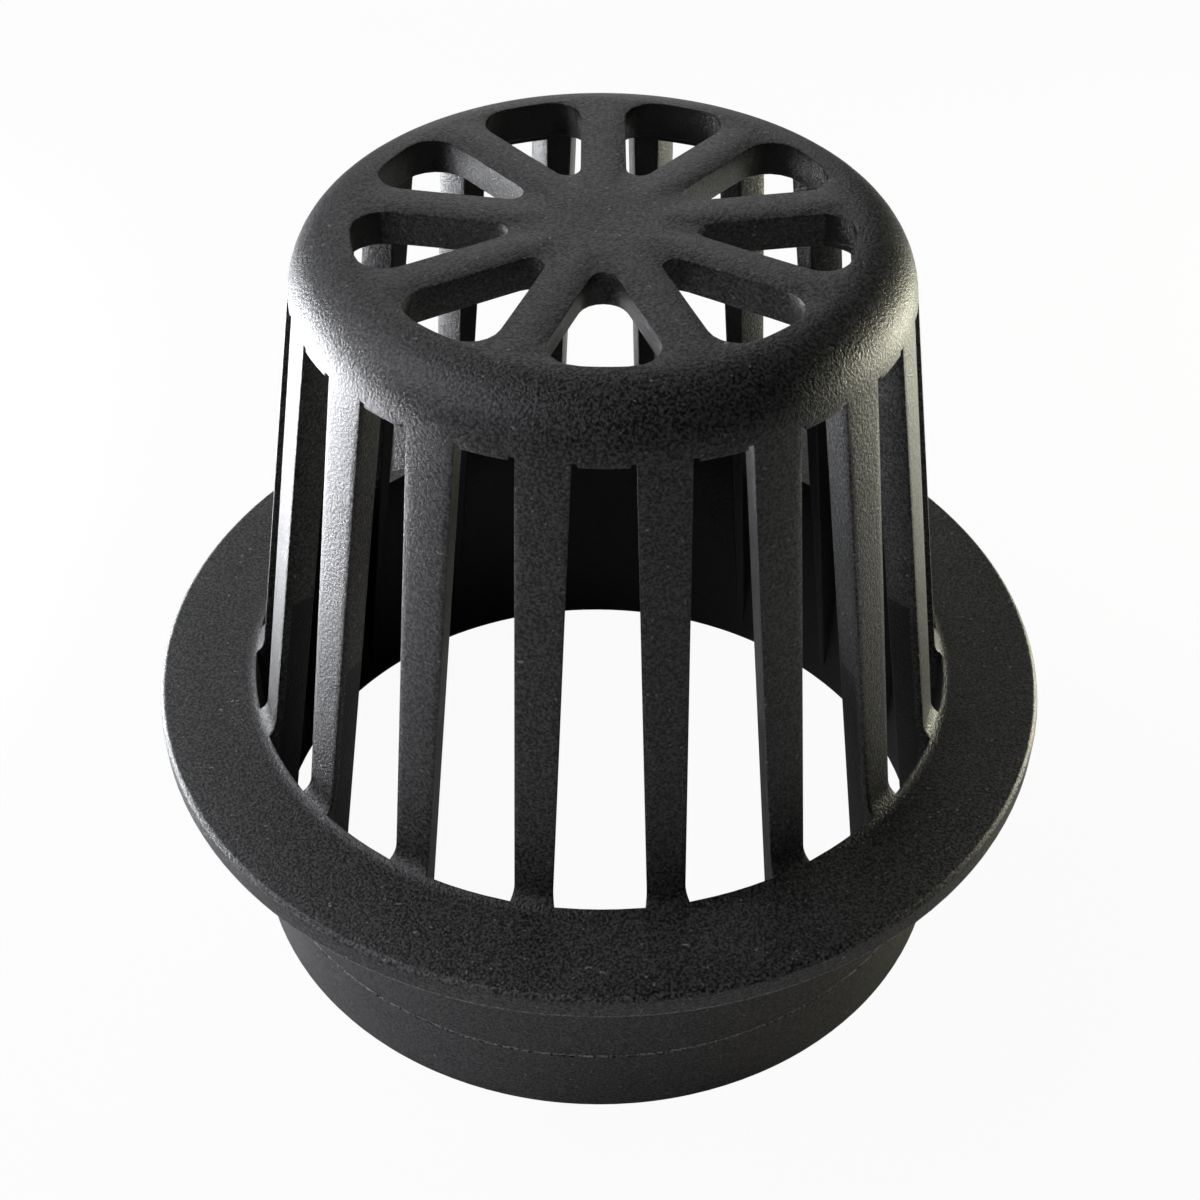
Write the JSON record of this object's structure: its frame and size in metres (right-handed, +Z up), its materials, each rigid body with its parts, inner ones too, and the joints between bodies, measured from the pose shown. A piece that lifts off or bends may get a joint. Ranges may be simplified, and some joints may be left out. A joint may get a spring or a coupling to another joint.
{
  "type": "atrium drain grate",
  "caption": "Domed drain grate moulded in one piece: a tapered slotted cage with a pierced flat crown, on a flat flange with a short spigot that slips into a pipe hub.",
  "frame": {"origin": "centre of the spigot's bottom rim, on the plane that the grate stands on", "axes": "+Z up the axis of the cage and spigot; one cage slot and one crown window face -Y"},
  "size_m": [0.129, 0.129, 0.1121],
  "materials": {
    "moulded_plastic": "black moulded polyethylene with a fine sandy grain"
  },
  "bodies": {
    "root": {"atrium_grate": "moulded_plastic"}
  },
  "joints": []
}
